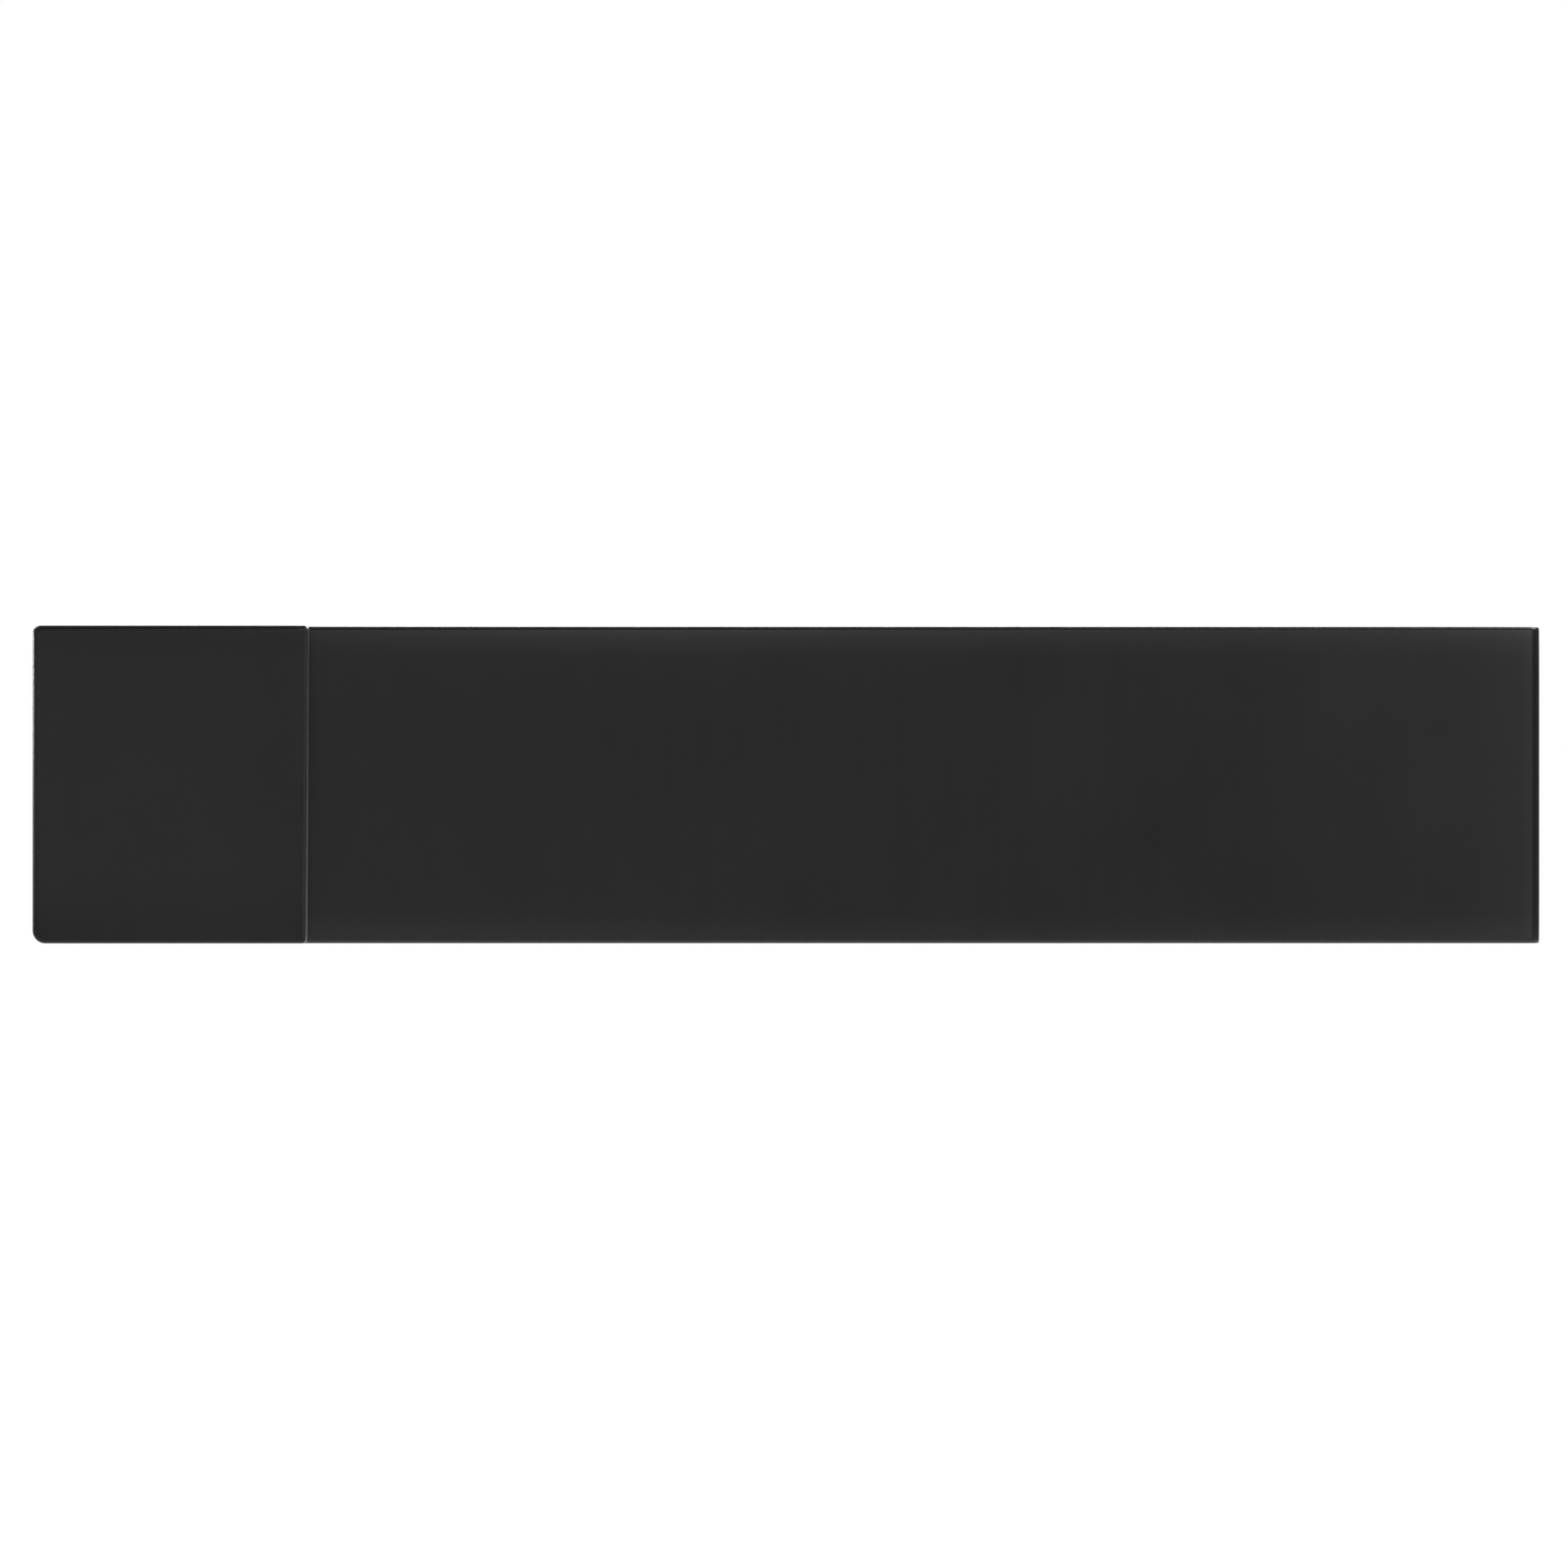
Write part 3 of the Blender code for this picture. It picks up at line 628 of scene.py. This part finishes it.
def place_ring(verts, number):
    """Stretches a ring from its own rectangle to the one its set-in asks for, at its depth."""
    old = [f([v.co[a] for v in verts]) for a in (X, Z) for f in (min, max)]
    new = [edge + SET_IN[side][number] * MM * inwards for side, edge, inwards in OUTLINE]
    for vert in verts:
        vert.co.x = new[0] + (vert.co.x - old[0]) / (old[1] - old[0]) * (new[1] - new[0])
        vert.co.z = new[2] + (vert.co.z - old[2]) / (old[3] - old[2]) * (new[3] - new[2])
        vert.co.y = face_y + DEPTHS[number] * MM


place_ring(list(face.verts), 0)
for number in range(1, len(DEPTHS)):
    bmesh.ops.inset_region(cap, faces=[face], thickness=0.02 * MM, use_even_offset=True)
    place_ring(list(face.verts), number)
print("cap faces with the soft front:", len(cap.faces))

# %% Draft the right side, more at the bottom, and ease every edge
DRAFT_TOP, DRAFT_BOTTOM = 0.4 * MM, 1.6 * MM
EASE = {"limit_method": "ANGLE", "angle_limit": radians(50), "width": 0.25 * MM, "segments": 2}
for vert in cap.verts:
    lower = (top - vert.co.z) / (top - bottom)
    forward = (back_y - vert.co.y) / (back_y - face_y)
    rightward = min(1.0, (vert.co.x - left) / CAP_WIDTH) * (vert.co.x < right + 0.1 * MM)
    vert.co.x -= (DRAFT_TOP + (DRAFT_BOTTOM - DRAFT_TOP) * lower) * forward * rightward
end_cap_moulding = make("end_cap_moulding", cap, moulded_abs, [("BEVEL", EASE)])
fit(end_cap_moulding, "cap", "black_abs", "end_cap")

# %% [markdown]
# ## The rail on the door
# The retainer is an aluminium extrusion: a 3 mm web and two hooks that open upwards. Extrusion means one
# outline pushed through a die, so it is drawn as that outline, with the small radii that a die always has,
# and pulled along X. The eight countersunk holes are drilled afterwards, as in the workshop.

# %% Outline of the rail, hooks and all
def bar(outline, span, rounding=()):
    """A bar along X from a closed (y, z) outline; rounding lists (radius, numbers of the corners to round)."""
    bm = bmesh.new()
    corners = [bm.verts.new((span[0], y, z)) for y, z in outline]
    bm.faces.new(corners)
    for radius, chosen in rounding:
        geom = [corners[i] for i in chosen]
        bmesh.ops.bevel(bm, geom=geom, offset=radius, segments=3, profile=0.5, affect="VERTICES", material=-1)
    extrude(bm, bm.faces[:], X, span[1], keep=True)
    return bm


WEB, CHANNEL, HOOK = 3.0 * MM, 2.6 * MM, 1.6 * MM
HOOK_LEG, HOOK_RISE, LEAD = 2.0 * MM, 12.0 * MM, 0.8 * MM
HOOK_LEVELS = (20 * MM, -38 * MM)  # undersides of the hooks' legs
low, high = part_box("retainer")
outline = [(0, low.z), (0, high.z), (-WEB, high.z)]
for level in HOOK_LEVELS:
    hook_top = level + HOOK_LEG + HOOK_RISE
    inside, outside = -WEB - CHANNEL, -WEB - CHANNEL - HOOK
    outline += [(-WEB, level + HOOK_LEG), (inside, level + HOOK_LEG), (inside, hook_top - LEAD)]
    outline += [(inside - LEAD, hook_top), (outside, hook_top), (outside, level), (-WEB, level)]
outline.append((-WEB, low.z))
FIRSTS = (3, 10)  # number of each hook's first corner
tips = [first + i for first in FIRSTS for i in (3, 4)]
roots = [first + i for first in FIRSTS for i in (0, 1, 6)]
heels = [first + 5 for first in FIRSTS]
ends = [0, 1, 2, len(outline) - 1]
rail = bar(outline, (low.x, high.x), [(0.3 * MM, tips + ends), (0.5 * MM, roots), (0.7 * MM, heels)])
print("rail outline corners:", len(outline))

# %% Drill and countersink it
HEAD_RADIUS, SHANK_RADIUS, HOLE_GAP = 4.15 * MM, 2.0 * MM, 0.4 * MM
seat = HEAD_RADIUS - SHANK_RADIUS
screws = [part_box(f"retainer_screw_{number}") for number in range(1, 9)]
centres = [((a.x + b.x) / 2, (a.z + b.z) / 2) for a, b in screws]
SQUARE = 6.0 * MM  # half the side of the square that each hole is drilled in
BURR = 0.25 * MM  # chamfer where the drill breaks through
mouth, bore = HEAD_RADIUS + HOLE_GAP, SHANK_RADIUS + HOLE_GAP
for axis, spots in ((X, {round(x, 6) for x, z in centres}), (Z, {round(z, 6) for x, z in centres})):
    cut(rail, axis, [spot + side * SQUARE for spot in sorted(spots) for side in (-1, 1)])
for x, z in centres:
    spans = {"x": (x - SQUARE, x + SQUARE), "z": (z - SQUARE, z + SQUARE)}
    front_face, back_face = flat_faces(rail, Y, -WEB, **spans)[0], flat_faces(rail, Y, 0, **spans)[0]
    down = drill(rail, front_face, (x, z), [(mouth, -WEB), (bore, -WEB + seat)])
    up = drill(rail, back_face, (x, z), [(bore + BURR, 0), (bore, -BURR)])
    bmesh.ops.bridge_loops(rail, edges=down + up)
retainer_rail = make("retainer_rail", rail, aluminium)
fit(retainer_rail, "retainer_unit", "mill_aluminium", "retainer")

# %% [markdown]
# ## The screws
# Each screw is a countersunk wood screw: a forged head with a cross recess and a rolled thread that tapers
# with the point. The blank is turned, so it is an outline spun round the screw's axis. The thread is a small
# triangle spun round the same axis while it moves along it by one pitch a turn.

# %% Turn an outline round the screw's axis
SIDES = 32  # facets round a screw
CORE, PITCH = 1.35 * MM, 2.2 * MM


def spin_outline(bm, points):
    """Turns an open outline of (radius, y) round the Y axis; returns the edges of its two end rings."""
    line = [bm.verts.new((radius, y, 0)) for radius, y in points]
    edges = [bm.edges.new(pair) for pair in zip(line, line[1:])]
    bmesh.ops.spin(
        bm, geom=line + edges, cent=(0, 0, 0), axis=(0, 1, 0), angle=2 * pi, steps=SIDES, use_merge=True
    )
    bmesh.ops.remove_doubles(bm, verts=bm.verts, dist=NEARER)
    rings = []
    for radius, y in (points[0], points[-1]):
        level_with = [v for v in bm.verts if abs(v.co.y - y) < NEARER]
        on_ring = {v for v in level_with if abs(Vector((v.co.x, v.co.z)).length - radius) < NEARER}
        rings.append([e for e in bm.edges if set(e.verts) <= on_ring])
    return rings


trial = bmesh.new()
print("edges in the end rings of a trial tube:", [len(r) for r in spin_outline(trial, [(MM, 0.0), (MM, MM)])])
trial.free()


# %% The blank and its cross recess
WING, WAIST = 2.15 * MM, 0.85 * MM  # reach of the cross's wings, and of the hollows between them
RECESS = ((0.5 * MM, 0.86), (1.3 * MM, 0.45), (1.8 * MM, 0.12))  # depth, and share of the last ring's size


def screw_blank(length, point):
    """A countersunk blank with its head's face at Y = 0, and its cross recess."""
    bm = bmesh.new()
    neck = 0.2 * MM + HEAD_RADIUS - SHANK_RADIUS
    shank = length - point
    outline = [
        (HEAD_RADIUS - 0.12 * MM, 0.0),
        (HEAD_RADIUS, 0.1 * MM),
        (HEAD_RADIUS, 0.22 * MM),
        (SHANK_RADIUS, neck),
        (SHANK_RADIUS * 0.93, neck + 1.4 * MM),
        (CORE, neck + 2.0 * MM),
        (CORE, shank),
        (0.75 * MM, shank + 0.6 * point),
        (0.12 * MM, length - 0.05 * MM),
    ]
    head_ring, tip_ring = spin_outline(bm, outline)
    bmesh.ops.edgeloop_fill(bm, edges=tip_ring)
    head = bmesh.ops.edgeloop_fill(bm, edges=head_ring)["faces"][0]
    bmesh.ops.inset_individual(bm, faces=[head], thickness=1.4 * MM)
    for vert in head.verts:  # the inner ring is drawn to a cross with four wings
        across, up = abs(vert.co.x), abs(vert.co.z)
        wing = min(across, up) / max(across, up) < 0.25
        flat = Vector((vert.co.x, 0, vert.co.z)).normalized() * (WING if wing else WAIST)
        vert.co.x, vert.co.z = flat.x, flat.z
    for depth, size in RECESS:
        bmesh.ops.inset_individual(bm, faces=[head], thickness=0.01 * MM)
        for vert in head.verts:
            vert.co.y = depth
        bmesh.ops.scale(bm, vec=(size, 1, size), verts=list(head.verts))
    return bm, neck, shank


# %% The thread
TURN_STEPS = 20  # of a thread, for each turn
ROOT, CREST = CORE - 0.12 * MM, SHANK_RADIUS - 0.01 * MM  # the root sinks into the core, so no gap shows


def roll_thread(bm, start, shank, length):
    """Spins a triangle along the core; its crest fades in at the start and shrinks with the point."""
    before = set(bm.verts)
    half = 0.34 * PITCH
    corners = [(ROOT, start - half), (CREST, start), (ROOT, start + half)]
    tooth = bm.faces.new([bm.verts.new((radius, y, 0)) for radius, y in corners])
    turns = (length - 1.2 * MM - start) / PITCH
    steps = int(turns * TURN_STEPS)
    bmesh.ops.spin(
        bm, geom=[tooth], cent=(0, 0, 0), axis=(0, 1, 0), angle=2 * pi * steps / TURN_STEPS,
        dvec=(0, PITCH / TURN_STEPS, 0), steps=steps,
    )
    tail = length + 0.4 * MM
    for vert in set(bm.verts) - before:
        radius = sqrt(vert.co.x**2 + vert.co.z**2)
        grown = min(1.0, 0.5 + (vert.co.y - start + half) / (0.8 * PITCH))
        narrow = min(1.0, max(0.05, (tail - vert.co.y) / (tail - shank)))
        wanted = (ROOT + (radius - ROOT) * grown) * narrow
        vert.co.x *= wanted / radius
        vert.co.z *= wanted / radius
    return turns


# %% Place the eight screws
POINT = 5.0 * MM  # length of the tapered point
for number, (low, high) in enumerate(screws, 1):
    length = high.y - low.y
    blank, neck, shank = screw_blank(length, POINT)
    turns = roll_thread(blank, neck + 2.2 * MM, shank, length)
    turn = Matrix.Rotation(radians(37 * number), 4, "Y")  # each one stopped at its own angle
    bmesh.ops.transform(blank, matrix=turn, verts=blank.verts)
    place = Matrix.Translation(((low.x + high.x) / 2, low.y, (low.z + high.z) / 2))
    bmesh.ops.transform(blank, matrix=place, verts=blank.verts)
    screw = make(f"countersunk_screw_{number}", blank, zinc)
    fit(screw, "retainer_unit", "zinc_steel", f"retainer_screw_{number}")
print(f"thread turns on each screw: {turns:.1f}")

# %% [markdown]
# ## The buffer strips
# Six lengths of solid EPDM sit between rail and sheet, stuck to the rail, so that a kick is carried by rubber
# and not by the hooks. The strip is extruded with round front corners and cut to length with a knife, which
# leaves square ends. The sides belly out a little where the sheet squeezes it.

# %% Cut the six strips
BELLY, FOOT_IN = 0.05 * MM, 0.2 * MM  # the sides stand out and the corners stand in by this
for row in ("centre", "lower"):
    for number in (1, 2, 3):
        low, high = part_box(f"{row}_cushion_{number}")
        half_way = (low.y + high.y) / 2
        outline = [
            (high.y, low.z + FOOT_IN),
            (high.y, high.z - FOOT_IN),
            (half_way, high.z + BELLY),
            (low.y, high.z - FOOT_IN),
            (low.y, low.z + FOOT_IN),
            (half_way, low.z - BELLY),
        ]
        strip = bar(outline, (low.x, high.x), [(1.5 * MM, (2, 5)), (1.3 * MM, (3, 4)), (0.3 * MM, (0, 1))])
        ends = [e for e in strip.edges if abs(e.verts[0].co.x - e.verts[1].co.x) < NEAR]
        bmesh.ops.bevel(strip, geom=ends, offset=0.2 * MM, segments=2, profile=0.5, affect="EDGES", material=-1)
        buffer = make(f"{row}_buffer_{number}", strip, rubber)
        fit(buffer, "retainer_unit", "black_epdm", f"{row}_cushion_{number}")

# %% [markdown]
# ## The hangers and their tape
# Each hanger is a thin aluminium section: a flat web bonded to the back of the sheet and a lip that drops
# behind a hook of the rail. Lifting the cover 11 mm clears the hooks. The bond is a strip of foam tape a
# little shorter than the hanger.

# %% Hangers from their outline, tapes from a block
HANGER_WEB, HANGER_LIP, HANGER_LEG = 1.4 * MM, 1.6 * MM, 1.8 * MM  # thicknesses
WEB_HEIGHT, LIP_LEAD = 18.0 * MM, 0.6 * MM
for name in ("upper", "lower"):
    low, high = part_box(f"{name}_hanger")
    web_back, lip_front = low.y + HANGER_WEB, high.y - HANGER_LIP
    leg_low = high.z - WEB_HEIGHT  # this leg rests on the hook's tip
    leg_high = leg_low + HANGER_LEG
    outline = [
        (low.y, leg_low), (lip_front, leg_low), (lip_front, low.z + LIP_LEAD), (lip_front + LIP_LEAD, low.z),
        (high.y, low.z), (high.y, leg_high), (web_back, leg_high), (web_back, high.z), (low.y, high.z),
    ]
    strip = bar(outline, (low.x, high.x), [(0.5 * MM, (0, 5)), (0.35 * MM, (1, 6)), (0.25 * MM, (3, 4, 7, 8))])
    hanger = make(f"{name}_hook_strip", strip, aluminium)
    fit(hanger, "cover", "mill_aluminium", f"{name}_hanger")
    low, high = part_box(f"{name}_hanger_tape")
    tape = bmesh.new()
    block(tape, low, high)
    bmesh.ops.bevel(
        tape, geom=tape.edges[:], offset=0.18 * MM, segments=2, profile=0.5, affect="EDGES", material=-1
    )
    bond = make(f"{name}_bonding_tape", tape, foam)
    fit(bond, "cover", "grey_foam_tape", f"{name}_hanger_tape")

# %% [markdown]
# ## Camera
# The view is straight on, from about two metres with a long lens, as for a catalogue cut-out. The lens sees
# 755 mm at the plate, so the plate nearly fills the frame from side to side.

# %% Camera
LENS, SENSOR = 100.0, 36.0
VIEW_WIDTH = 754.8 * MM
AIM = Vector((-1.75 * MM, -8 * MM, 0.45 * MM))  # middle of the view
camera_data = bpy.data.cameras.new("catalogue_camera")
camera_data.lens, camera_data.sensor_width = LENS, SENSOR
camera = bpy.data.objects.new("catalogue_camera", camera_data)
bpy.context.collection.objects.link(camera)
distance = VIEW_WIDTH * LENS / SENSOR
camera.location = AIM - Vector((0, distance, 0))
camera.rotation_euler = (pi / 2, 0, 0)
bpy.context.scene.camera = camera
print(f"camera distance: {distance:.3f} m")

# %% [markdown]
# ## Floor, world and lights
# The plate is nearly black and satin, so it shows little but what it reflects. Soft panels above, below and
# beside the lens give the face its faint light bands. The surroundings are white to the lens and dim grey to
# everything else, as in a studio where only the backdrop is lit.

# %% Pale floor
FLOOR_DROP, FLOOR_RADIUS = 0.42, 3.2
floor_mesh = bmesh.new()
floor_level = Matrix.Translation((0, 0, cad_low.z - FLOOR_DROP))
bmesh.ops.create_circle(floor_mesh, cap_ends=True, segments=96, radius=FLOOR_RADIUS, matrix=floor_level)
floor_data = bpy.data.meshes.new("studio_floor")
floor_mesh.to_mesh(floor_data)
floor_mesh.free()
floor = bpy.data.objects.new("studio_floor", floor_data)
bpy.context.collection.objects.link(floor)
floor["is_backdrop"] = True
pale = bpy.data.materials.new("pale_studio_floor")
pale.use_nodes = True
tree = pale.node_tree
shader = tree.nodes["Principled BSDF"]
shader.inputs["Base Color"].default_value = linear("#e8e8e8")
shader.inputs["Roughness"].default_value = 0.9
path = add_node(tree, "LightPath")  # the glow is for the lens only, and doesn't light the plate
glow = add_node(tree, "Math", {0: path.outputs["Is Camera Ray"], 1: 0.9}, operation="MULTIPLY")
shader.inputs["Emission Color"].default_value = (1, 1, 1, 1)
tree.links.new(glow.outputs[0], shader.inputs["Emission Strength"])
floor_data.materials.append(pale)
print(f"floor: {FLOOR_DROP * 1000:.0f} mm below the plate")

# %% White backdrop for the lens, dim room for the rest
ROOM, BACKDROP = 0.10, 1.0  # strength of the world
world = bpy.data.worlds.new("studio")
bpy.context.scene.world = world
world.use_nodes = True
tree = world.node_tree
path = add_node(tree, "LightPath")
strength = add_node(tree, "MapRange", {0: path.outputs["Is Camera Ray"], 1: 0.0, 2: 1.0, 3: ROOM, 4: BACKDROP})
backdrop = tree.nodes["Background"]
backdrop.inputs["Color"].default_value = (1, 1, 1, 1)
tree.links.new(strength.outputs[0], backdrop.inputs["Strength"])
print("world strength, room and backdrop:", ROOM, BACKDROP)


# %% Soft panels
def panel(name, spot, target, size, power, colour="#ffffff"):
    """A rectangular area light at a spot, aimed at a target, hidden from the lens."""
    data = bpy.data.lights.new(name, "AREA")
    data.shape = "RECTANGLE"
    data.size, data.size_y = size
    data.energy = power
    data.color = linear(colour)[:3]
    made = bpy.data.objects.new(name, data)
    bpy.context.collection.objects.link(made)
    made.location = spot
    made.rotation_euler = (Vector(target) - Vector(spot)).to_track_quat("-Z", "Y").to_euler()
    made.visible_camera = False
    return made


REACH = 2.4  # from the middle of the plate to each soft box
SOFT_BOXES = (  # name, degrees to the right, degrees up, side in metres, watts
    ("front_high", -4, 18, 0.35, 2.54),
    ("front_higher", 12, 28, 0.35, 0.64),
    ("front_low", -4, -9, 0.35, 0.17),
    ("front_left_low", -12, -9, 0.35, 0.77),
    ("left_quarter", -28, 9, 0.35, 0.94),
    ("right_quarter_high", 28, 18, 0.35, 3.61),
    ("right_quarter", 28, 9, 0.35, 0.84),
    ("right_quarter_low", 28, -9, 0.35, 1.41),
    ("right_wall", 85, 45, 0.70, 11.7),
    ("left_wall", -85, 45, 0.70, 5.8),
)
for name, right_by, up_by, side, watts in SOFT_BOXES:
    turn, rise = radians(right_by), radians(up_by)
    spot = REACH * Vector((sin(turn) * cos(rise), -cos(turn) * cos(rise), sin(rise)))
    panel(name, spot, (0, 0, 0), (side, side), watts)
# Three more: a rim on the cap's left edge, a glint on the right corner, and light on the back.
panel("left_rim", (-0.80, 0.06, 0.11), (-0.36, 0, 0.07), (0.16, 0.16), 2.2)
panel("corner_glint", (0.75, 0.15, 0.9), (0.36, 0, 0.07), (0.35, 0.35), 6, "#e6e2ff")
panel("rear_panel", (0.6, 2.6, 1.3), (0, 0, 0), (2.4, 1.8), 100)
bpy.context.scene.view_settings.view_transform = "Standard"

low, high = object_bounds()
print("model, mm:", [round(1000 * (b - a), 1) for a, b in zip(low, high)])
